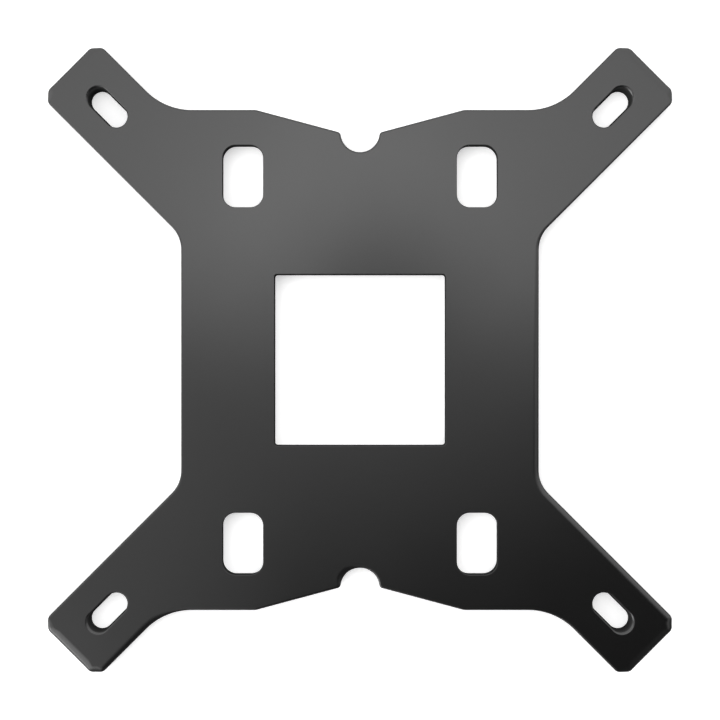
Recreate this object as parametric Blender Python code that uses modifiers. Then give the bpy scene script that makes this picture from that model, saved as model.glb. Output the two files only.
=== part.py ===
"""Adapter plate that fits a processor cooler to a socket: one punched sheet with four slotted arms.

Metres, +Z up. The plate lies flat with its back face on z = 0 and its front face up, and the origin is the middle of
the back face. +X runs along the plate's width and +Y along its height. The four arms lie on the diagonals.
"""

import math

import bmesh
import bpy
from mathutils import Vector
from mathutils.geometry import intersect_line_line_2d, intersect_line_sphere_2d

OBJECT_NAME = "cooler_socket_adapter"

# Sheet
THICKNESS = 0.0025

# Window in the middle
WINDOW_SIDE = 0.0263
WINDOW_CORNER_RADIUS = 0.0004

# Upright slots beside the window, with the sheet left between them and the body's edges
SLOT_WIDTH = 0.0062
SLOT_HEIGHT = 0.0095
SLOT_CORNER_RADIUS = 0.0020
SLOT_SPACING_ACROSS = 0.0360
SLOT_SPACING_UP = 0.0565
SIDE_WEB = 0.0064
TOP_WEB = 0.00545

# Slots in the arms, whose centres are the corners of a square, with the sheet left beside and beyond each slot
ARM_SLOT_SQUARE = 0.0775
ARM_SLOT_WIDTH = 0.0034
ARM_SLOT_LENGTH = 0.0070
ARM_SIDE_WEB = 0.0043
ARM_END_WEB = 0.0050

# Corners of the arms' ends, each cut off by a short flat
TIP_FLAT = 0.0020
TIP_RADIUS = 0.0012

# Hollow fillets where an arm leaves the body
ARM_TOP_FILLET = 0.0100
ARM_SIDE_FILLET = 0.0050

# Top and bottom edges, which slope in to a half-round notch
SLOPE_SPAN = 0.0320
SLOPE_ANGLE = math.radians(15)
NOTCH_RADIUS = 0.0030
NOTCH_LIP_RADIUS = 0.0006

# Rims: the press rolls the front ones over, and only breaks the sharpness of those at the back
OUTLINE_ROLL = 0.00055
ARM_SLOT_ROLL = 0.00055
HOLE_ROLL = 0.00015
BACK_BREAK = 0.00015
ROLL_SEGMENTS = 2

# Finish
COAT_COLOUR = (0.010, 0.010, 0.0105, 1.0)
COAT_ROUGHNESS = 0.42
COAT_METALLIC = 0.0

# Modelling tolerances
CHORD_ERROR = 0.000015
WELD_DISTANCE = 0.000001
CUTTER_OVERRUN = 0.0020
FLAT_ANGLE = math.radians(0.05)

# Sizes that follow from the ones above
ARM_WIDTH = ARM_SLOT_WIDTH + 2 * ARM_SIDE_WEB
ARM_SLOT_DISTANCE = ARM_SLOT_SQUARE / math.sqrt(2)
ARM_REACH = ARM_SLOT_DISTANCE + ARM_SLOT_LENGTH / 2 + ARM_END_WEB
BODY_HALF_WIDTH = (SLOT_SPACING_ACROSS + SLOT_WIDTH) / 2 + SIDE_WEB
BODY_HALF_HEIGHT = (SLOT_SPACING_UP + SLOT_HEIGHT) / 2 + TOP_WEB

QUADRANTS = ((1, 1), (-1, 1), (-1, -1), (1, -1))


def clear_scene():
    for obj in list(bpy.data.objects):
        bpy.data.objects.remove(obj, do_unlink=True)


def new_collection(name):
    collection = bpy.data.collections.new(name)
    bpy.context.scene.collection.children.link(collection)
    return collection


def steps_for(radius, turn):
    """How many chords an arc needs so that none leaves it by more than CHORD_ERROR."""
    widest = 2 * math.acos(1 - min(CHORD_ERROR / radius, 1))
    return max(1, math.ceil(abs(turn) / widest))


def arc(centre, radius, start, end, steps=None):
    """Points along an arc from one angle to another, both ends included."""
    steps = steps or steps_for(radius, end - start)
    angles = (start + (end - start) * i / steps for i in range(steps + 1))
    return [centre + Vector((math.cos(a), math.sin(a))) * radius for a in angles]


def rounded_corner(before, corner, after, radius):
    """The arc that rounds a corner between two straight edges, no larger than half of either edge can hold."""
    into = (corner - before).normalized()
    out = (after - corner).normalized()
    turn = -into.angle_signed(out)
    reach = radius * math.tan(abs(turn) / 2)
    room = min((corner - before).length, (after - corner).length) / 2
    if reach > room:
        radius *= room / reach
        reach = room
    inward = Vector((-into.y, into.x)) * math.copysign(1, turn)
    centre = corner - into * reach + inward * radius
    start = math.atan2(-inward.y, -inward.x)
    return arc(centre, radius, start, start + turn)


def rounded_rectangle(width, height, radius, steps):
    """A closed loop about the origin. A radius of half the width makes a slot with round ends."""
    loop = []
    for number, (across, up) in enumerate(QUADRANTS):
        centre = Vector((across * (width / 2 - radius), up * (height / 2 - radius)))
        start = number * math.pi / 2
        loop += arc(centre, radius, start, start + math.pi / 2, steps)
    return without_repeats(loop)


def without_repeats(loop):
    """The loop without points that fall on the one before them."""
    return [point for i, point in enumerate(loop) if (point - loop[i - 1]).length > WELD_DISTANCE]


def slope_height(across):
    """Height of the sloping part of the top edge, at a distance from the centre line."""
    return BODY_HALF_HEIGHT - (SLOPE_SPAN / 2 - across) * math.tan(SLOPE_ANGLE)


def half_notch():
    """From the slope over the rounded lip and down to the notch's floor on the centre line.

    The half-round's centre is level with the end of the slope, and the lip's arc is tangent to both of them.
    """
    centre = Vector((0.0, slope_height(NOTCH_RADIUS)))
    slope = Vector((math.cos(SLOPE_ANGLE), math.sin(SLOPE_ANGLE)))
    into_sheet = Vector((slope.y, -slope.x))
    start = Vector((0.0, slope_height(0.0))) + into_sheet * NOTCH_LIP_RADIUS
    end = start + slope * SLOPE_SPAN
    hits = intersect_line_sphere_2d(start, end, centre, NOTCH_RADIUS + NOTCH_LIP_RADIUS, False)
    lip = max((hit for hit in hits if hit is not None), key=lambda hit: hit.x)
    to_notch = centre - lip
    lip_start = math.atan2(-into_sheet.y, -into_sheet.x)
    lip_end = math.atan2(to_notch.y, to_notch.x) % math.tau
    round_start = math.atan2(-to_notch.y, -to_notch.x)
    return arc(lip, NOTCH_LIP_RADIUS, lip_start, lip_end) + arc(centre, NOTCH_RADIUS, round_start, -math.pi / 2)


def quarter_outline():
    """The outline's first quarter, from the body's side past the arm to the notch's floor on the centre line."""
    along = Vector((1.0, 1.0)).normalized()
    beside = Vector((1.0, -1.0)).normalized()
    end = along * ARM_REACH
    lower = beside * ARM_WIDTH / 2
    upper = -lower
    side = Vector((BODY_HALF_WIDTH, 0.0))
    top = Vector((0.0, BODY_HALF_HEIGHT))
    side_root = intersect_line_line_2d(lower, lower + 2 * end, side, side + Vector((0.0, ARM_REACH)))
    top_root = intersect_line_line_2d(upper, upper + 2 * end, top, top + Vector((ARM_REACH, 0.0)))
    slope_start = Vector((SLOPE_SPAN / 2, BODY_HALF_HEIGHT))

    # The flat that cuts off a tip's corner takes as much from the arm's side as from its end.
    trim = TIP_FLAT / math.sqrt(2)
    corners = [
        (side, 0.0),
        (side_root, ARM_SIDE_FILLET),
        (end + lower - along * trim, TIP_RADIUS),
        (end + lower - beside * trim, TIP_RADIUS),
        (end + upper + beside * trim, TIP_RADIUS),
        (end + upper - along * trim, TIP_RADIUS),
        (top_root, ARM_TOP_FILLET),
        (slope_start, 0.0),
    ]
    points = []
    for (before, _), (corner, radius), (after, _) in zip(corners, corners[1:], corners[2:]):
        points += rounded_corner(before, corner, after, radius)
    return points + [slope_start] + half_notch()


def plate_outline():
    """The whole outline: the first quarter mirrored into the other three."""
    quarter = quarter_outline()
    loop = []
    for across, up in QUADRANTS:
        mirrored = [Vector((point.x * across, point.y * up)) for point in quarter]
        loop += mirrored if across * up > 0 else mirrored[::-1]
    return without_repeats(loop)


def blank(outline):
    """The sheet cut to its outline: a filled flat curve turned into a mesh, with one polygon for each face."""
    curve = bpy.data.curves.new("outline", "CURVE")
    curve.dimensions = "2D"
    curve.fill_mode = "BOTH"
    curve.extrude = THICKNESS / 2
    spline = curve.splines.new("POLY")
    spline.points.add(len(outline) - 1)
    for target, point in zip(spline.points, outline):
        target.co = (point.x, point.y, 0.0, 1.0)
    spline.use_cyclic_u = True
    guide = bpy.data.objects.new("outline", curve)
    guide.location.z = THICKNESS / 2
    bpy.context.scene.collection.objects.link(guide)
    bpy.context.view_layer.update()

    evaluated = guide.evaluated_get(bpy.context.evaluated_depsgraph_get())
    mesh = bpy.data.meshes.new_from_object(evaluated)
    mesh.name = "adapter_plate"
    sheet = bmesh.new()
    sheet.from_mesh(mesh)
    bmesh.ops.remove_doubles(sheet, verts=sheet.verts, dist=WELD_DISTANCE)
    bmesh.ops.dissolve_limit(sheet, angle_limit=FLAT_ANGLE, verts=sheet.verts, edges=sheet.edges)
    bmesh.ops.recalc_face_normals(sheet, faces=sheet.faces)
    sheet.to_mesh(mesh)
    sheet.free()
    plate = bpy.data.objects.new("adapter_plate", mesh)
    plate.matrix_world = guide.matrix_world
    bpy.data.objects.remove(guide, do_unlink=True)
    bpy.data.curves.remove(curve)
    return plate


def round_rim(plate, name, radius, at_front):
    """Rounds the outline's rim on one face."""
    group = plate.vertex_groups.new(name=name + "_rim")
    group.add([v.index for v in plate.data.vertices if (v.co.z > 0) == at_front], 1.0, "REPLACE")
    bevel = plate.modifiers.new(name, "BEVEL")
    bevel.limit_method = "VGROUP"
    bevel.vertex_group = group.name
    bevel.width = radius
    bevel.segments = ROLL_SEGMENTS


def flare(radius):
    """(growth, depth below the face) of the rings that round a hole's rim, from its wall to clear of the sheet.

    The arc's last chord runs on past the face, so that the cut crosses the face at an angle.
    """
    rings = []
    for i in range(ROLL_SEGMENTS):
        turn = math.pi / 2 * i / ROLL_SEGMENTS
        rings.append((radius * (1 - math.cos(turn)), radius * (1 - math.sin(turn))))
    growth, depth = rings[-1]
    rings.append((2 * radius - growth, -depth))
    rings.append((2 * radius - growth, -CUTTER_OVERRUN))
    return rings


def hole_cutter(name, width, height, radius, roll):
    """A cutter for one hole: its section lofted from below the sheet to above it, flared where the rims are round."""
    steps = steps_for(radius + roll, math.pi / 2)
    rings = [(growth, depth) for growth, depth in reversed(flare(BACK_BREAK))]
    rings += [(growth, THICKNESS - depth) for growth, depth in flare(roll)]
    body = bmesh.new()
    below = None
    for growth, z in rings:
        section = rounded_rectangle(width + 2 * growth, height + 2 * growth, radius + growth, steps)
        ring = [body.verts.new((point.x, point.y, z)) for point in section]
        if below is None:
            body.faces.new(ring[::-1])
        else:
            for i in range(len(ring)):
                body.faces.new((below[i - 1], below[i], ring[i], ring[i - 1]))
        below = ring
    body.faces.new(below)
    mesh = bpy.data.meshes.new(name)
    body.to_mesh(mesh)
    body.free()
    mesh.shade_smooth()
    return mesh


def place_cutter(collection, name, mesh, place, turn):
    cutter = bpy.data.objects.new(name, mesh)
    cutter.location = (place.x, place.y, 0.0)
    cutter.rotation_euler.z = turn
    cutter.hide_render = True
    cutter.display_type = "WIRE"
    collection.objects.link(cutter)


def add_cutters(collection):
    """The window's cutter, and one for each upright slot and arm slot."""
    window = hole_cutter("window_cutter", WINDOW_SIDE, WINDOW_SIDE, WINDOW_CORNER_RADIUS, HOLE_ROLL)
    upright = hole_cutter("upright_slot_cutter", SLOT_WIDTH, SLOT_HEIGHT, SLOT_CORNER_RADIUS, HOLE_ROLL)
    slanted = hole_cutter("arm_slot_cutter", ARM_SLOT_LENGTH, ARM_SLOT_WIDTH, ARM_SLOT_WIDTH / 2, ARM_SLOT_ROLL)
    place_cutter(collection, "window_cutter", window, Vector((0.0, 0.0)), 0.0)
    for number, (across, up) in enumerate(QUADRANTS, start=1):
        place = Vector((across * SLOT_SPACING_ACROSS, up * SLOT_SPACING_UP)) / 2
        place_cutter(collection, f"upright_slot_cutter_{number}", upright, place, 0.0)
        along = Vector((across, up)).normalized()
        place = along * ARM_SLOT_DISTANCE
        place_cutter(collection, f"arm_slot_cutter_{number}", slanted, place, math.atan2(along.y, along.x))


def coat_material():
    material = bpy.data.materials.new("satin_black_coat")
    material.use_nodes = True
    shader = material.node_tree.nodes["Principled BSDF"]
    shader.inputs["Base Color"].default_value = COAT_COLOUR
    shader.inputs["Roughness"].default_value = COAT_ROUGHNESS
    shader.inputs["Metallic"].default_value = COAT_METALLIC
    return material


def adapter_plate(cutters):
    """The finished plate: cut to its outline, its outer rims rounded, every hole punched, and coated."""
    plate = blank(plate_outline())
    plate.data.shade_smooth()
    plate.data.materials.clear()
    plate.data.materials.append(coat_material())
    round_rim(plate, "front_roll", OUTLINE_ROLL, True)
    round_rim(plate, "back_break", BACK_BREAK, False)
    punch = plate.modifiers.new("punch", "BOOLEAN")
    punch.operation = "DIFFERENCE"
    punch.solver = "EXACT"
    punch.operand_type = "COLLECTION"
    punch.collection = cutters
    plate.modifiers.new("flat_faces_stay_flat", "WEIGHTED_NORMAL")
    return plate


def main():
    clear_scene()
    parts = new_collection(OBJECT_NAME)
    cutters = new_collection(OBJECT_NAME + "_cutters")
    cutters.hide_render = True
    add_cutters(cutters)
    parts.objects.link(adapter_plate(cutters))


main()
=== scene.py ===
"""Looks of an adapter plate that fits a processor cooler to a socket.

The plate is one punched sheet with a satin black coat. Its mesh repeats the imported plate's outline and holes
with finer arcs, and adds what a press leaves on the edges: a rolled front rim, a burnished band, the torn
band under it and a broken back edge. Metres, +Z up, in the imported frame: back face on z = 0, front face up,
origin in the middle.
"""

import math
from collections import namedtuple

import bmesh
import bpy
from bpy.props import FloatProperty, FloatVectorProperty, IntProperty, PointerProperty
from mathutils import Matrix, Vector, noise
from mathutils.geometry import intersect_line_line_2d, intersect_line_sphere_2d


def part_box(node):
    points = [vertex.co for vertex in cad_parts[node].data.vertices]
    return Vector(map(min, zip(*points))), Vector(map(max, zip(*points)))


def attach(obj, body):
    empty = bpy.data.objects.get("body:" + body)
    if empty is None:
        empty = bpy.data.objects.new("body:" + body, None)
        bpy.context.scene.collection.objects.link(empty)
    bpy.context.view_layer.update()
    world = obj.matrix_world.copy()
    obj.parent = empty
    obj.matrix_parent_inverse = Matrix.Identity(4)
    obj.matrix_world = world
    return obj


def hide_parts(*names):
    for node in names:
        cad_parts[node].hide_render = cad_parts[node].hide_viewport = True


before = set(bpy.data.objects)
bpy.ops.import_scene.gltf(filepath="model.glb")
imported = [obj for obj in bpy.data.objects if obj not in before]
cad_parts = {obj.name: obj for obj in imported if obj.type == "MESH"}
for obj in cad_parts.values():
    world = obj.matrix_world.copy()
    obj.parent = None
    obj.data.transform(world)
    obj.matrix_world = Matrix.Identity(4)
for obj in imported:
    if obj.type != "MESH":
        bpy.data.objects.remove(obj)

bl_info = {
    "name": "Cooler socket adapter plate",
    "version": (1, 0, 0),
    "blender": (4, 5, 0),
    "location": "3D View > Sidebar > Adapter",
    "description": "Builds the coated, punched adapter plate and the studio it is shown in",
    "category": "Object",
}

NODE = "adapter_plate"
PLATE_LOW, PLATE_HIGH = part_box(NODE)

QUADRANTS = ((1, 1), (-1, 1), (-1, -1), (1, -1))
WELD_DISTANCE = 0.000001
COAT_MATERIAL, CUT_MATERIAL = 0, 1
TORN_WAVES_PER_METRE = 320
GLOSS_CLOUDS_PER_METRE = 60.0
TEAR_STRETCH = 0.12  # a tear's width, as a share of its height

FLOOR_REACH, FLOOR_GAP = 4.0, 0.00005
FLOOR_PAINT, FLOOR_BOUNCE, FLOOR_GLOW = 0.95, 0.5, 0.5

# Heights of a direction's unit vector: 0 on the horizon and 1 straight up.
WHOLE_GLOW_HEIGHT, GLOW_ON_HORIZON = 0.557, 0.256
HORIZON_TOP = 0.6

# One ring of an edge's section: how far it lies inside the sheet, its height, the angle of its normal above
# level, how much it belongs to a rounded rim and to the torn band, how far it follows the wave, and whether
# it is dull from there.
Ring = namedtuple("Ring", "recess height tilt rim torn wander dull")


class PlateSizes(bpy.types.PropertyGroup):
    """Sizes of the punched sheet"""

    thickness: FloatProperty(
        name="Thickness", description="Of the sheet",
        default=PLATE_HIGH.z - PLATE_LOW.z, unit="LENGTH", precision=5,
    )
    window_side: FloatProperty(
        name="Window side", description="Side of the square window",
        default=0.0263, unit="LENGTH", precision=5,
    )
    window_corner: FloatProperty(
        name="Window corner", description="Radius of the window's corners",
        default=0.0004, unit="LENGTH", precision=5,
    )
    slot_width: FloatProperty(
        name="Slot width", description="Width of the upright slots",
        default=0.0062, unit="LENGTH", precision=5,
    )
    slot_height: FloatProperty(
        name="Slot height", description="Height of the upright slots",
        default=0.0095, unit="LENGTH", precision=5,
    )
    slot_corner: FloatProperty(
        name="Slot corner", description="Corner radius of the upright slots",
        default=0.0020, unit="LENGTH", precision=5,
    )
    slot_spacing_across: FloatProperty(
        name="Slots apart, across", description="Between upright slots' centres",
        default=0.0360, unit="LENGTH",
    )
    slot_spacing_up: FloatProperty(
        name="Slots apart, up", description="Between upright slots' centres", default=0.0565, unit="LENGTH"
    )
    side_web: FloatProperty(
        name="Side web", description="Sheet left beside an upright slot",
        default=0.0064, unit="LENGTH", precision=5,
    )
    top_web: FloatProperty(
        name="Top web", description="Sheet left above an upright slot",
        default=0.00545, unit="LENGTH", precision=5,
    )
    arm_slot_square: FloatProperty(
        name="Arm slot square", description="Side of the square of arm slots' centres",
        default=0.0775, unit="LENGTH",
    )
    arm_slot_width: FloatProperty(
        name="Arm slot width", description="Width of the arm slots",
        default=0.0034, unit="LENGTH", precision=5,
    )
    arm_slot_length: FloatProperty(
        name="Arm slot length", description="Length of the arm slots",
        default=0.0070, unit="LENGTH", precision=5,
    )
    arm_side_web: FloatProperty(
        name="Arm side web", description="Sheet left beside an arm slot",
        default=0.0043, unit="LENGTH", precision=5,
    )
    arm_end_web: FloatProperty(
        name="Arm end web", description="Sheet left beyond an arm slot",
        default=0.0050, unit="LENGTH", precision=5,
    )
    tip_flat: FloatProperty(
        name="Tip flat", description="Flat across each corner of an arm's end", default=0.0020, unit="LENGTH"
    )
    tip_radius: FloatProperty(
        name="Tip radius", description="Rounding at both ends of that flat",
        default=0.0012, unit="LENGTH", precision=5,
    )
    arm_top_fillet: FloatProperty(
        name="Upper arm fillet", description="Between an arm and the body's top",
        default=0.0100, unit="LENGTH",
    )
    arm_side_fillet: FloatProperty(
        name="Lower arm fillet", description="Between an arm and the body's side",
        default=0.0050, unit="LENGTH",
    )
    slope_span: FloatProperty(
        name="Slope span", description="Width of the sloping part of the top edge",
        default=0.0320, unit="LENGTH",
    )
    slope_angle: FloatProperty(
        name="Slope angle", description="Slope towards the notch", default=math.radians(15), unit="ROTATION"
    )
    slope_radius: FloatProperty(
        name="Slope radius", description="Rounding where the slope starts",
        default=0.0020, unit="LENGTH", precision=5,
    )
    notch_radius: FloatProperty(
        name="Notch radius", description="Radius of the half-round notch",
        default=0.0030, unit="LENGTH", precision=5,
    )
    notch_lip: FloatProperty(
        name="Notch lip", description="Rounding at the notch's mouth",
        default=0.0006, unit="LENGTH", precision=5,
    )


class EdgeSizes(bpy.types.PropertyGroup):
    """What the press leaves on the edges"""

    outline_roll: FloatProperty(
        name="Outline roll", description="Widest part of the outline's rolled front rim",
        default=0.0013, unit="LENGTH", precision=5,
    )
    side_roll: FloatProperty(
        name="Side roll", description="Widest roll off the arms' ends, as a share of the widest",
        default=0.75, min=0, max=1, subtype="FACTOR",
    )
    least_roll: FloatProperty(
        name="Least roll", description="Narrowest roll of the outline, as a share of the widest",
        default=0.22, min=0, max=1, subtype="FACTOR",
    )
    roll_lean: FloatProperty(
        name="Roll lean", description="How much wider the roll is towards the lower right", default=1.4, min=0
    )
    end_facing: FloatProperty(
        name="End facing", description="How squarely an arm's end faces away from the middle",
        default=0.6, min=0, max=1,
    )
    arm_slot_roll: FloatProperty(
        name="Arm slot roll", description="Widest part of the arm slots' rolled front rims",
        default=0.00065, unit="LENGTH", precision=5,
    )
    least_slot_roll: FloatProperty(
        name="Least slot roll", description="Narrowest roll of an arm slot, as a share of the widest",
        default=0.35, min=0, max=1, subtype="FACTOR",
    )
    arm_slot_depth: FloatProperty(
        name="Arm slot roll depth", description="Share of an arm slot's roll that adds to its depth",
        default=0.95, min=0,
    )
    dull_below: FloatProperty(
        name="Dull below", description="A roll's normal is nearer level than this where its coat turns dull",
        default=math.radians(50), unit="ROTATION",
    )
    hole_roll: FloatProperty(
        name="Hole roll", description="Width of the other holes' rolled front rims",
        default=0.00010, unit="LENGTH", precision=5,
    )
    least_depth: FloatProperty(
        name="Least depth", description="Depth of a rolled rim, before its share of the width",
        default=0.00015, unit="LENGTH", precision=5,
    )
    roll_depth: FloatProperty(
        name="Roll depth", description="Share of a rolled rim's width that adds to its depth",
        default=0.25, min=0, max=1, subtype="FACTOR",
    )
    roll_room: FloatProperty(
        name="Roll room", description="Widest roll round a corner, as a share of the corner's radius",
        default=0.85, min=0, max=1, subtype="FACTOR",
    )
    roll_growth: FloatProperty(
        name="Roll growth", description="How fast a roll widens along an edge away from a corner",
        default=0.5, min=0,
    )
    back_break: FloatProperty(
        name="Back break", description="Rounding of the back edges",
        default=0.00015, unit="LENGTH", precision=5,
    )
    burnished_depth: FloatProperty(
        name="Burnished depth", description="From the front face to the torn band",
        default=0.0009, unit="LENGTH",
    )
    torn_step: FloatProperty(
        name="Torn step", description="From the burnished to the torn band",
        default=0.00003, unit="LENGTH", precision=5,
    )
    hole_taper: FloatProperty(
        name="Hole taper", description="How far the torn band falls back in the upright slots",
        default=0.00012, unit="LENGTH", precision=5,
    )
    fine_taper: FloatProperty(
        name="Fine taper", description="How far the torn band falls back in the outline",
        default=0.00005, unit="LENGTH", precision=5,
    )
    window_taper: FloatProperty(
        name="Window taper", description="How far the torn band falls back in the window",
        default=0.0, unit="LENGTH", precision=5,
    )
    arm_slot_taper: FloatProperty(
        name="Arm slot taper", description="How far the torn band falls back in the arm slots; closes in if negative",
        default=-0.00008, unit="LENGTH", precision=5,
    )
    torn_wave: FloatProperty(
        name="Torn wave", description="How far the torn band's top wanders",
        default=0.00010, unit="LENGTH", precision=5,
    )
    roll_steps: IntProperty(name="Roll steps", description="Faces across a rolled rim", default=8, min=2)
    chord_error: FloatProperty(
        name="Chord error", description="How far a chord may leave its arc",
        default=0.000002, unit="LENGTH", precision=6,
    )
    spacing: FloatProperty(
        name="Spacing", description="Longest face along an edge", default=0.0010, unit="LENGTH", precision=5
    )


class CoatFinish(bpy.types.PropertyGroup):
    """The satin black coat"""

    colour: FloatVectorProperty(
        name="Colour", description="Of the coat", default=(0.0050, 0.0050, 0.0050), subtype="COLOR", size=3
    )
    thin_colour: FloatVectorProperty(
        name="Thin colour", description="Of the coat where it thins over a rim",
        default=(0.0080, 0.0080, 0.0080), subtype="COLOR", size=3,
    )
    roughness: FloatProperty(
        name="Roughness", description="Of the faces", default=0.17, min=0, max=1, subtype="FACTOR"
    )
    ior: FloatProperty(name="IOR", description="Of the faces", default=1.7, min=1, max=3)
    gloss_spread: FloatProperty(
        name="Gloss spread", description="How far the roughness of the faces wanders",
        default=0.03, min=0, max=1,
    )
    rim_roughness: FloatProperty(
        name="Rim roughness", description="Added to the roughness over a rolled rim",
        default=0.10, min=0, max=1,
    )
    burnished_roughness: FloatProperty(
        name="Burnished roughness", description="Of the burnished band in the walls",
        default=0.55, min=0, max=1, subtype="FACTOR",
    )
    torn_roughness: FloatProperty(
        name="Torn roughness", description="Of the torn band in the walls",
        default=0.85, min=0, max=1, subtype="FACTOR",
    )
    cut_colour: FloatVectorProperty(
        name="Cut colour", description="Of the coat in the walls",
        default=(0.034, 0.034, 0.034), subtype="COLOR", size=3,
    )
    cut_specular: FloatProperty(
        name="Cut specular", description="Specular level of the walls",
        default=0.0, min=0, max=1, subtype="FACTOR",
    )
    tear_size: FloatProperty(
        name="Tear size", description="Width of the torn band's tears",
        default=0.0002, unit="LENGTH", precision=5,
    )
    tear_depth: FloatProperty(
        name="Tear depth", description="Depth of the torn band's tears",
        default=0.00003, unit="LENGTH", precision=5,
    )
    peel_size: FloatProperty(
        name="Peel size", description="Grain of the coat's orange peel",
        default=0.00030, unit="LENGTH", precision=5,
    )
    peel_height: FloatProperty(
        name="Peel height", description="Height of the orange peel",
        default=0.0000015, unit="LENGTH", precision=7,
    )


class StudioSetup(bpy.types.PropertyGroup):
    """Camera, floor and light"""

    camera_height: FloatProperty(
        name="Camera height", description="Above the front face", default=0.200, unit="LENGTH"
    )
    lens: FloatProperty(name="Lens", description="Focal length", default=65.1, unit="CAMERA")
    key_radiance: FloatProperty(
        name="Key radiance", description="Of the light behind the plate", default=1.193, min=0
    )
    fill_radiance: FloatProperty(
        name="Fill radiance", description="Of the light at the lower left", default=4.42, min=0
    )
    ambient: FloatProperty(
        name="Ambient", description="Radiance of the studio's dark parts", default=0.015, min=0
    )
    horizon: FloatProperty(
        name="Horizon", description="Radiance added along the horizon, all round", default=0.4, min=0
    )


def steps_for(radius, turn, chord_error):
    """How many chords an arc needs so that none leaves it by more than the chord error."""
    widest = 2 * math.acos(1 - min(chord_error / radius, 1))
    return max(2, math.ceil(abs(turn) / widest))


def arc(centre, radius, start, turn, chord_error):
    """Stations along an arc: (point, direction into the sheet, room). The sheet lies left of the way along.

    Room is how far the sheet goes on narrowing into the arc: its radius round a corner, without end in a
    hollow.
    """
    steps = steps_for(radius, turn, chord_error)
    room = radius if turn > 0 else math.inf
    stations = []
    for i in range(steps + 1):
        angle = start + turn * i / steps
        radial = Vector((math.cos(angle), math.sin(angle)))
        stations.append((centre + radial * radius, -math.copysign(1, turn) * radial, room))
    return stations


def rounded_corner(before, corner, after, radius, chord_error):
    """The arc that rounds a corner between two straight edges, no larger than half of either can hold."""
    into = (corner - before).normalized()
    out = (after - corner).normalized()
    turn = -into.angle_signed(out)
    reach = radius * math.tan(abs(turn) / 2)
    room = min((corner - before).length, (after - corner).length) / 2
    if reach > room:
        radius *= room / reach
        reach = room
    inward = Vector((-into.y, into.x)) * math.copysign(1, turn)
    centre = corner - into * reach + inward * radius
    return arc(centre, radius, math.atan2(-inward.y, -inward.x), turn, chord_error)


def rounded_rectangle(width, height, radius, chord_error):
    """A hole's loop about the origin, run clockwise so that the sheet lies to its left."""
    corners = [Vector((across * width / 2, up * height / 2)) for across, up in QUADRANTS[::-1]]
    loop = []
    for i, corner in enumerate(corners):
        before = (corners[i - 1] + corner) / 2
        after = (corners[(i + 1) % len(corners)] + corner) / 2
        reach = min((corner - before).length, (after - corner).length)
        loop += rounded_corner(corner + (before - corner) * 2, corner, corner + (after - corner) * 2,
                               min(radius, reach), chord_error)
    return loop


def placed(loop, place, along):
    """The loop turned so that its +X runs along a direction, and moved to its place."""
    beside = Vector((-along.y, along.x))
    return [
        (place + along * point.x + beside * point.y, along * into.x + beside * into.y, room)
        for point, into, room in loop
    ]


def slope_height(plate, half_height, across):
    """Height of the sloping part of the top edge, at a distance from the centre line."""
    return half_height - (plate.slope_span / 2 - across) * math.tan(plate.slope_angle)


def half_notch(plate, half_height, chord_error):
    """From the slope over the rounded lip and down to the notch's floor on the centre line."""
    centre = Vector((0.0, slope_height(plate, half_height, plate.notch_radius)))
    slope = Vector((math.cos(plate.slope_angle), math.sin(plate.slope_angle)))
    into_sheet = Vector((slope.y, -slope.x))
    start = Vector((0.0, slope_height(plate, half_height, 0.0))) + into_sheet * plate.notch_lip
    end = start + slope * plate.slope_span
    hits = intersect_line_sphere_2d(start, end, centre, plate.notch_radius + plate.notch_lip, False)
    lip = max((hit for hit in hits if hit is not None), key=lambda hit: hit.x)
    to_notch = centre - lip
    lip_start = math.atan2(-into_sheet.y, -into_sheet.x)
    lip_end = math.atan2(to_notch.y, to_notch.x) % math.tau
    round_start = math.atan2(-to_notch.y, -to_notch.x)
    stations = arc(lip, plate.notch_lip, lip_start, lip_end - lip_start, chord_error)
    return stations + arc(centre, plate.notch_radius, round_start, -math.pi / 2 - round_start, chord_error)


def arm_reach(plate):
    """From the middle to an arm's end."""
    return plate.arm_slot_square / math.sqrt(2) + plate.arm_slot_length / 2 + plate.arm_end_web


def quarter_outline(plate, chord_error):
    """The outline's first quarter, from the body's side past the arm to the notch's floor in the middle."""
    half_width = (plate.slot_spacing_across + plate.slot_width) / 2 + plate.side_web
    half_height = (plate.slot_spacing_up + plate.slot_height) / 2 + plate.top_web
    arm_width = plate.arm_slot_width + 2 * plate.arm_side_web
    reach = arm_reach(plate)

    along = Vector((1.0, 1.0)).normalized()
    beside = Vector((1.0, -1.0)).normalized()
    end = along * reach
    lower = beside * arm_width / 2
    upper = -lower
    side = Vector((half_width, 0.0))
    top = Vector((0.0, half_height))
    side_root = intersect_line_line_2d(lower, lower + 2 * end, side, side + Vector((0.0, reach)))
    top_root = intersect_line_line_2d(upper, upper + 2 * end, top, top + Vector((reach, 0.0)))
    slope_start = Vector((plate.slope_span / 2, half_height))
    slope_end = Vector((0.0, slope_height(plate, half_height, 0.0)))
    trim = plate.tip_flat / math.sqrt(2)
    corners = [
        (side, 0.0),
        (side_root, plate.arm_side_fillet),
        (end + lower - along * trim, plate.tip_radius),
        (end + lower - beside * trim, plate.tip_radius),
        (end + upper + beside * trim, plate.tip_radius),
        (end + upper - along * trim, plate.tip_radius),
        (top_root, plate.arm_top_fillet),
        (slope_start, plate.slope_radius),
        (slope_end, 0.0),
    ]
    stations = []
    for (before, _), (corner, radius), (after, _) in zip(corners, corners[1:], corners[2:]):
        stations += rounded_corner(before, corner, after, radius, chord_error)
    return stations + half_notch(plate, half_height, chord_error)


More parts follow.
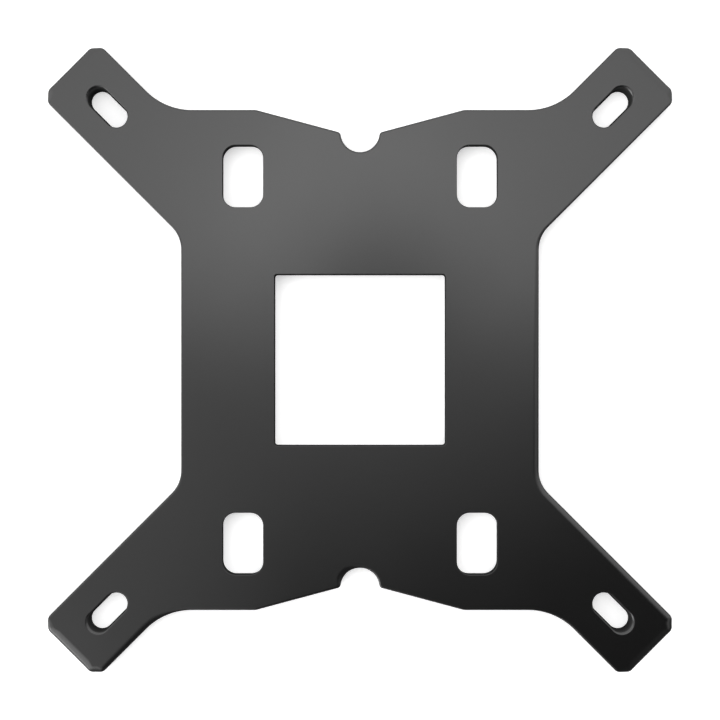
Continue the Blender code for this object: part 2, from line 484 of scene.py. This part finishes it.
def plate_outline(plate, chord_error):
    """The whole outline: the first quarter mirrored into the other three."""
    quarter = quarter_outline(plate, chord_error)
    loop = []
    for across, up in QUADRANTS:
        mirrored = [
            (Vector((point.x * across, point.y * up)), Vector((into.x * across, into.y * up)), room)
            for point, into, room in quarter
        ]
        loop += mirrored if across * up > 0 else mirrored[::-1]
    return loop


def evened(loop, spacing):
    """The loop without stations that fall on the one before, and with more along its straight stretches."""
    kept = [loop[i] for i in range(len(loop)) if (loop[i][0] - loop[i - 1][0]).length > WELD_DISTANCE]
    even = []
    for i, (point, into, room) in enumerate(kept):
        before, into_before, _ = kept[i - 1]
        count = math.ceil((point - before).length / spacing)
        for j in range(1, count):
            into_between = into_before.lerp(into, j / count).normalized()
            even.append((before.lerp(point, j / count), into_between, math.inf))
        even.append((point, into, room))
    return even


def outline_roll(plate, edge, point, into):
    """How wide the outline's roll is at a station: full at the arms' ends, wide towards the lower right."""
    reach = arm_reach(plate)
    away = -into.dot(point.normalized())
    if away > edge.end_facing and point.length > reach - edge.outline_roll:
        return edge.outline_roll
    lowness = 0.5 - point.y / reach / math.sqrt(2)  # 0 at the plate's top, 1 at its bottom
    lean = edge.roll_lean * max(0.0, -into.x) * lowness
    return edge.outline_roll * min(max(edge.least_roll, lean), edge.side_roll)


def arm_slot_roll(edge, point, into):
    """How wide an arm slot's roll is at a station: full at the slot's outer end."""
    outer = max(0.0, into.dot(point.normalized()))
    return edge.arm_slot_roll * (edge.least_slot_roll + (1 - edge.least_slot_roll) * outer)


def blended(loop, widths, edge):
    """The widths, narrower round a tight corner and growing only slowly along the edge."""
    widths = [min(width, room * edge.roll_room) for width, (_, _, room) in zip(widths, loop)]
    for way in (1, -1):
        for i in range(0, 2 * len(loop) * way, way):
            here, before = i % len(loop), (i - way) % len(loop)
            gap = (loop[here][0] - loop[before][0]).length
            widths[here] = min(widths[here], widths[before] + gap * edge.roll_growth)
    return widths


def edge_section(roll, depth, taper, edge, thickness):
    """The section of an edge as rings from the front face to the back.

    A rolled rim leads to the smooth band that the punch burnished, then to the torn band, which falls back by
    the taper on its way to the broken back edge.
    """
    rings = []
    for i in range(edge.roll_steps + 1):
        turn = math.pi / 2 * i / edge.roll_steps
        tilt = math.atan2(roll * math.cos(turn), depth * math.sin(turn))
        rings.append(Ring(roll * (1 - math.sin(turn)), thickness - depth * (1 - math.cos(turn)), tilt,
                          math.sin(2 * turn), 0.0, 0.0, tilt < edge.dull_below))
    step = edge.torn_step
    back = edge.back_break
    torn_top = thickness - edge.burnished_depth
    undercut = -math.atan2(taper - step, torn_top - back)
    rings.append(Ring(0.0, torn_top + step, 0.0, 0.0, 0.0, 1.0, True))
    rings.append(Ring(step / 2, torn_top, -math.pi / 4, 0.0, 0.5, 1.0, True))
    rings.append(Ring(step, torn_top - step, undercut, 0.0, 1.0, 1.0, True))
    for i in range(edge.roll_steps // 2 + 1):
        turn = math.pi / 2 * i / (edge.roll_steps // 2)
        recess = taper + back * (1 - math.cos(turn))
        tilt = min(undercut, -turn) if i else undercut
        rings.append(Ring(recess, back * (1 - math.sin(turn)), tilt, math.sin(2 * turn),
                          1.0 - math.sin(turn), 0.0, False))
    return rings


def loft_edge(sheet, layers, loop, widths, share, taper, edge, thickness):
    """Lofts an edge's section along a loop. Returns the front ring's and the back ring's edges."""
    normal_layer, rim_layer, torn_layer = layers
    columns = []
    for (point, into, _), width in zip(loop, blended(loop, widths, edge)):
        drift = edge.torn_wave * noise.noise(Vector((point.x, point.y, 0.0)) * TORN_WAVES_PER_METRE)
        section = edge_section(width, edge.least_depth + width * share, taper, edge, thickness)
        column = []
        for ring in section:
            place = point + into * ring.recess
            vert = sheet.verts.new((place.x, place.y, ring.height + drift * ring.wander))
            level = -into * math.cos(ring.tilt)
            vert[normal_layer] = (level.x, level.y, math.sin(ring.tilt))
            vert[rim_layer] = ring.rim
            vert[torn_layer] = ring.torn
            column.append(vert)
        columns.append(column)
    rings = list(zip(*columns))
    # The last station's section says which rings are dull, all along the loop.
    for ring, upper, lower in zip(section, rings, rings[1:]):
        for i in range(len(loop)):
            face = sheet.faces.new((upper[i - 1], lower[i - 1], lower[i], upper[i]))
            face.material_index = CUT_MATERIAL if ring.dull else COAT_MATERIAL
    ends = []
    for ring in (rings[0], rings[-1]):
        ends.append([sheet.edges.get((ring[i - 1], ring[i])) for i in range(len(ring))])
    return ends


def cap(sheet, edges, up):
    """Closes the sheet's front or back between the outline's ring and the holes' rings."""
    made = bmesh.ops.triangle_fill(
        sheet, edges=edges, use_beauty=True, use_dissolve=False, normal=(0.0, 0.0, up)
    )
    faces = [f for f in made["geom"] if isinstance(f, bmesh.types.BMFace)]
    for face in faces:
        if face.normal.z * up < 0:
            face.normal_flip()
    if not faces:
        raise RuntimeError("the sheet's face could not be filled")


def plate_mesh(plate, edge):
    """The whole plate as one closed mesh, with its normals and the layers that the coat reads."""
    error = edge.chord_error
    window = rounded_rectangle(plate.window_side, plate.window_side, plate.window_corner, error)
    upright = rounded_rectangle(plate.slot_width, plate.slot_height, plate.slot_corner, error)
    slanted = rounded_rectangle(plate.arm_slot_length, plate.arm_slot_width, plate.arm_slot_width / 2, error)
    level = Vector((1.0, 0.0))
    window = evened(window, edge.spacing)
    uprights, arm_slots = [], []
    for across, up in QUADRANTS:
        place = Vector((across * plate.slot_spacing_across, up * plate.slot_spacing_up)) / 2
        uprights.append(evened(placed(upright, place, level), edge.spacing))
        along = Vector((across, up)).normalized()
        place = along * plate.arm_slot_square / math.sqrt(2)
        arm_slots.append(evened(placed(slanted, place, along), edge.spacing))
    outline = evened(plate_outline(plate, error), edge.spacing)
    widths = [outline_roll(plate, edge, point, into) for point, into, _ in outline]
    lofts = [
        (outline, widths, edge.roll_depth, edge.fine_taper),
        (window, [edge.hole_roll] * len(window), edge.roll_depth, edge.window_taper),
    ]
    for loop in uprights:
        lofts.append((loop, [edge.hole_roll] * len(loop), edge.roll_depth, edge.hole_taper))
    for loop in arm_slots:
        widths = [arm_slot_roll(edge, point, into) for point, into, _ in loop]
        lofts.append((loop, widths, edge.arm_slot_depth, edge.arm_slot_taper))

    sheet = bmesh.new()
    layers = (
        sheet.verts.layers.float_vector.new("surface_normal"),
        sheet.verts.layers.float.new("rim"),
        sheet.verts.layers.float.new("torn"),
    )
    front, back = [], []
    for loop, widths, share, taper in lofts:
        front_ring, back_ring = loft_edge(sheet, layers, loop, widths, share, taper, edge, plate.thickness)
        front += front_ring
        back += back_ring
    cap(sheet, front, 1)
    cap(sheet, back, -1)

    mesh = bpy.data.meshes.new("coated_plate")
    sheet.to_mesh(mesh)
    sheet.free()
    mesh.shade_smooth()
    normals = [Vector(value.vector) for value in mesh.attributes["surface_normal"].data]
    mesh.normals_split_custom_set_from_vertices(normals)
    mesh.attributes.remove(mesh.attributes["surface_normal"])
    return mesh


def linked(tree, kind, place, inputs=None, **settings):
    """A node with its settings, whose inputs are numbers or other nodes' outputs."""
    node = tree.nodes.new(kind)
    node.location = place
    for name, value in settings.items():
        setattr(node, name, value)
    for name, value in (inputs or {}).items():
        if isinstance(value, bpy.types.NodeSocket):
            tree.links.new(value, node.inputs[name])
        else:
            node.inputs[name].default_value = value
    return node


def coat_material(coat):
    """Satin black coat: fine orange peel, slightly uneven gloss, and thinner over the rims."""
    material = bpy.data.materials.new("satin_black_coat")
    material.use_nodes = True
    tree = material.node_tree
    shader = tree.nodes["Principled BSDF"]
    shader.inputs["IOR"].default_value = coat.ior
    place = linked(tree, "ShaderNodeTexCoord", (-1400, 0)).outputs["Object"]
    rim = linked(tree, "ShaderNodeAttribute", (-1400, 300), attribute_name="rim").outputs["Fac"]

    clouds = linked(
        tree, "ShaderNodeTexNoise", (-1150, 250),
        {"Vector": place, "Scale": GLOSS_CLOUDS_PER_METRE, "Detail": 4.0},
    )
    thin = linked(
        tree, "ShaderNodeMath", (-900, 350), {0: rim, 1: clouds.outputs["Fac"]}, operation="MULTIPLY"
    )
    colour = linked(tree, "ShaderNodeMix", (-650, 350), {"Factor": thin.outputs[0]}, data_type="RGBA")
    colour.inputs[6].default_value = (*coat.colour, 1.0)
    colour.inputs[7].default_value = (*coat.thin_colour, 1.0)
    tree.links.new(colour.outputs[2], shader.inputs["Base Color"])

    gloss = linked(
        tree, "ShaderNodeMapRange", (-650, 50),
        {"Value": clouds.outputs["Fac"], "To Min": coat.roughness - coat.gloss_spread,
         "To Max": coat.roughness + coat.gloss_spread},
    )
    rough = linked(
        tree, "ShaderNodeMath", (-400, 50), {0: rim, 1: coat.rim_roughness, 2: gloss.outputs["Result"]},
        operation="MULTIPLY_ADD",
    )
    tree.links.new(rough.outputs[0], shader.inputs["Roughness"])

    peel = linked(
        tree, "ShaderNodeTexNoise", (-1150, -50),
        {"Vector": place, "Scale": 1 / coat.peel_size, "Detail": 2.0},
    )
    peel_bump = linked(
        tree, "ShaderNodeBump", (-650, -200),
        {"Height": peel.outputs["Fac"], "Strength": 1.0, "Distance": coat.peel_height},
    )
    tree.links.new(peel_bump.outputs[0], shader.inputs["Normal"])
    return material


def cut_material(coat):
    """The coat in the punched walls: matt, and rough with upright tears on the torn band."""
    material = bpy.data.materials.new("coated_cut")
    material.use_nodes = True
    tree = material.node_tree
    shader = tree.nodes["Principled BSDF"]
    shader.inputs["Specular IOR Level"].default_value = coat.cut_specular
    shader.inputs["Base Color"].default_value = (*coat.cut_colour, 1.0)
    place = linked(tree, "ShaderNodeTexCoord", (-1400, 0)).outputs["Object"]
    torn = linked(tree, "ShaderNodeAttribute", (-1400, -300), attribute_name="torn").outputs["Fac"]
    dull = linked(
        tree, "ShaderNodeMapRange", (-650, 50),
        {"Value": torn, "To Min": coat.burnished_roughness, "To Max": coat.torn_roughness},
    )
    tree.links.new(dull.outputs["Result"], shader.inputs["Roughness"])
    stretched = linked(
        tree, "ShaderNodeMapping", (-1150, -350), {"Vector": place, "Scale": (1.0, 1.0, TEAR_STRETCH)}
    )
    streaks = linked(
        tree, "ShaderNodeTexNoise", (-900, -350),
        {"Vector": stretched.outputs[0], "Scale": 1 / coat.tear_size, "Detail": 3.0},
    )
    bump = linked(
        tree, "ShaderNodeBump", (-400, -300),
        {"Height": streaks.outputs["Fac"], "Strength": torn, "Distance": coat.tear_depth},
    )
    tree.links.new(bump.outputs[0], shader.inputs["Normal"])
    return material


class ADAPTER_OT_coated_plate(bpy.types.Operator):
    """Build the coated plate in place of the plain one"""

    bl_idname = "adapter.coated_plate"
    bl_label = "Coated plate"
    bl_options = {"REGISTER", "UNDO"}

    def execute(self, context):
        scene = context.scene
        mesh = plate_mesh(scene.adapter_plate, scene.adapter_edge)
        mesh.materials.append(coat_material(scene.adapter_coat))
        mesh.materials.append(cut_material(scene.adapter_coat))
        piece = bpy.data.objects.new("coated_plate", mesh)
        scene.collection.objects.link(piece)
        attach(piece, "root")
        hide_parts(NODE)
        return {"FINISHED"}


def soft_glow(tree, direction, azimuth, elevation, reach, core, radiance):
    """A round glow in the sky, whole up to its core's angle off its middle and gone beyond its reach.

    Angles are in degrees, and azimuth runs anticlockwise from +X. Returns the glow's radiance in a direction.
    """
    level = math.cos(math.radians(elevation))
    axis = (
        level * math.cos(math.radians(azimuth)), level * math.sin(math.radians(azimuth)),
        math.sin(math.radians(elevation)),
    )
    facing = linked(tree, "ShaderNodeVectorMath", (-800, 0), {0: direction}, operation="DOT_PRODUCT")
    facing.inputs[1].default_value = axis
    fade = linked(
        tree, "ShaderNodeMapRange", (-600, 0),
        {"Value": facing.outputs["Value"], "From Min": math.cos(math.radians(reach)),
         "From Max": math.cos(math.radians(core)), "To Min": 0.0, "To Max": radiance},
        interpolation_type="SMOOTHSTEP",
    )
    return fade.outputs["Result"]


def studio_world(studio):
    """White to the camera. All else sees a dark studio with soft glows, a pale horizon and a dark spot."""
    world = bpy.data.worlds.new("studio")
    world.use_nodes = True
    tree = world.node_tree
    tree.nodes.clear()
    direction = linked(tree, "ShaderNodeTexCoord", (-1000, 0)).outputs["Generated"]
    # The glows' places and strengths were matched to the tones on the photographed plate.
    glows = [
        # The wide light behind the plate, and a weaker one turned to the left.
        soft_glow(tree, direction, 88.3, 1.8, 88, 85.1, studio.key_radiance),
        soft_glow(tree, direction, 122.7, 5.2, 94.4, 84.9, 0.214),
        # The light at the lower left, with the softer light above and round it.
        soft_glow(tree, direction, 211.2, 27.1, 23.2, 0, studio.fill_radiance),
        soft_glow(tree, direction, 229.1, 55.2, 18.3, 0, 1.67),
        soft_glow(tree, direction, 206.7, 37.3, 47.3, 40.6, 0.456),
        # The small light at the right.
        soft_glow(tree, direction, -18.3, 50.3, 16.1, 0, 0.683),
        # The ceiling's two overlapping glows.
        soft_glow(tree, direction, 86.9, 86.2, 16.9, 0, 0.41),
        soft_glow(tree, direction, 96.4, 84.1, 8, 0, 0.646),
    ]
    total = studio.ambient
    for radiance in glows:
        total = linked(tree, "ShaderNodeMath", (-400, 0), {0: total, 1: radiance}).outputs[0]
    # What stands over the plate hides a spot of the ceiling.
    camera_spot = soft_glow(tree, direction, 72.8, 87, 4, 0, 1.0)
    clear = linked(
        tree, "ShaderNodeMath", (-400, -150), {0: 1.0, 1: camera_spot}, operation="SUBTRACT"
    ).outputs[0]
    total = linked(tree, "ShaderNodeMath", (-350, 0), {0: total, 1: clear}, operation="MULTIPLY").outputs[0]
    height = linked(tree, "ShaderNodeSeparateXYZ", (-800, 300), {"Vector": direction}).outputs["Z"]
    fade = linked(
        tree, "ShaderNodeMapRange", (-600, 300),
        {"Value": height, "From Min": 0.0, "From Max": WHOLE_GLOW_HEIGHT,
         "To Min": GLOW_ON_HORIZON, "To Max": 1.0},
        interpolation_type="SMOOTHSTEP",
    )
    total = linked(
        tree, "ShaderNodeMath", (-300, 150), {0: total, 1: fade.outputs["Result"]}, operation="MULTIPLY"
    ).outputs[0]
    low = linked(
        tree, "ShaderNodeMapRange", (-600, 500),
        {"Value": height, "From Min": 0.0, "From Max": HORIZON_TOP, "To Min": studio.horizon, "To Max": 0.0},
    )
    total = linked(tree, "ShaderNodeMath", (-250, 150), {0: total, 1: low.outputs["Result"]}).outputs[0]
    lit =linked(tree, "ShaderNodeBackground", (-200, 0), {"Strength": total})
    white = linked(tree, "ShaderNodeBackground", (-200, -200), {"Strength": 1.0})
    lit.inputs["Color"].default_value = (1, 1, 1, 1)
    white.inputs["Color"].default_value = (1, 1, 1, 1)
    camera_ray = linked(tree, "ShaderNodeLightPath", (-200, 350)).outputs["Is Camera Ray"]
    mixed = linked(tree, "ShaderNodeMixShader", (0, 0), {0: camera_ray})
    tree.links.new(lit.outputs[0], mixed.inputs[1])
    tree.links.new(white.outputs[0], mixed.inputs[2])
    output = linked(tree, "ShaderNodeOutputWorld", (250, 0))
    tree.links.new(mixed.outputs[0], output.inputs["Surface"])
    return world


def floor_material():
    """White floor, greyer to the light it passes on. Its glow, for the camera only, keeps it white."""
    material = bpy.data.materials.new("white_floor")
    material.use_nodes = True
    tree = material.node_tree
    tree.nodes.clear()
    seen = linked(tree, "ShaderNodeLightPath", (-900, 0)).outputs["Is Camera Ray"]
    shade = linked(tree, "ShaderNodeMix", (-650, 150), {"Factor": seen}, data_type="RGBA")
    shade.inputs[6].default_value = (FLOOR_BOUNCE, FLOOR_BOUNCE, FLOOR_BOUNCE, 1.0)
    shade.inputs[7].default_value = (FLOOR_PAINT, FLOOR_PAINT, FLOOR_PAINT, 1.0)
    paint = linked(tree, "ShaderNodeBsdfDiffuse", (-400, 150), {"Color": shade.outputs[2]})
    glow = linked(tree, "ShaderNodeEmission", (-400, -100), {"Strength": seen})
    glow.inputs["Color"].default_value = (FLOOR_GLOW, FLOOR_GLOW, FLOOR_GLOW, 1.0)
    both = linked(tree, "ShaderNodeAddShader", (-150, 0))
    tree.links.new(paint.outputs[0], both.inputs[0])
    tree.links.new(glow.outputs[0], both.inputs[1])
    output = linked(tree, "ShaderNodeOutputMaterial", (100, 0))
    tree.links.new(both.outputs[0], output.inputs["Surface"])
    return material


class ADAPTER_OT_stage(bpy.types.Operator):
    """Set up the floor, the light and the camera"""

    bl_idname = "adapter.stage"
    bl_label = "Stage"
    bl_options = {"REGISTER", "UNDO"}

    def execute(self, context):
        scene = context.scene
        studio = scene.adapter_studio

        mesh = bpy.data.meshes.new("floor")
        sheet = bmesh.new()
        bmesh.ops.create_grid(sheet, x_segments=1, y_segments=1, size=FLOOR_REACH)
        sheet.to_mesh(mesh)
        sheet.free()
        mesh.materials.append(floor_material())
        floor = bpy.data.objects.new("floor", mesh)
        floor.location.z = PLATE_LOW.z - FLOOR_GAP
        scene.collection.objects.link(floor)

        scene.world = studio_world(studio)

        lens = bpy.data.cameras.new("camera")
        lens.lens = studio.lens
        lens.clip_start = 0.005
        lens.clip_end = 20.0
        camera = bpy.data.objects.new("camera", lens)
        camera.location = (0.0, 0.0, PLATE_HIGH.z + studio.camera_height)
        scene.collection.objects.link(camera)
        scene.camera = camera
        scene.view_settings.view_transform = "Standard"
        return {"FINISHED"}


class ADAPTER_PT_panel(bpy.types.Panel):
    """Adapter plate"""

    bl_idname = "ADAPTER_PT_panel"
    bl_label = "Adapter plate"
    bl_space_type = "VIEW_3D"
    bl_region_type = "UI"
    bl_category = "Adapter"

    def draw(self, context):
        for operator in (ADAPTER_OT_coated_plate, ADAPTER_OT_stage):
            self.layout.operator(operator.bl_idname)


GROUPS = {
    "adapter_plate": PlateSizes,
    "adapter_edge": EdgeSizes,
    "adapter_coat": CoatFinish,
    "adapter_studio": StudioSetup,
}
CLASSES = (*GROUPS.values(), ADAPTER_OT_coated_plate, ADAPTER_OT_stage, ADAPTER_PT_panel)


def register():
    for cls in CLASSES:
        bpy.utils.register_class(cls)
    for name, group in GROUPS.items():
        setattr(bpy.types.Scene, name, PointerProperty(type=group))


def unregister():
    for name in GROUPS:
        delattr(bpy.types.Scene, name)
    for cls in reversed(CLASSES):
        bpy.utils.unregister_class(cls)


def main():
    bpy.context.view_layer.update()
    register()
    bpy.ops.adapter.coated_plate()
    bpy.ops.adapter.stage()


if __name__ == "__main__":
    main()
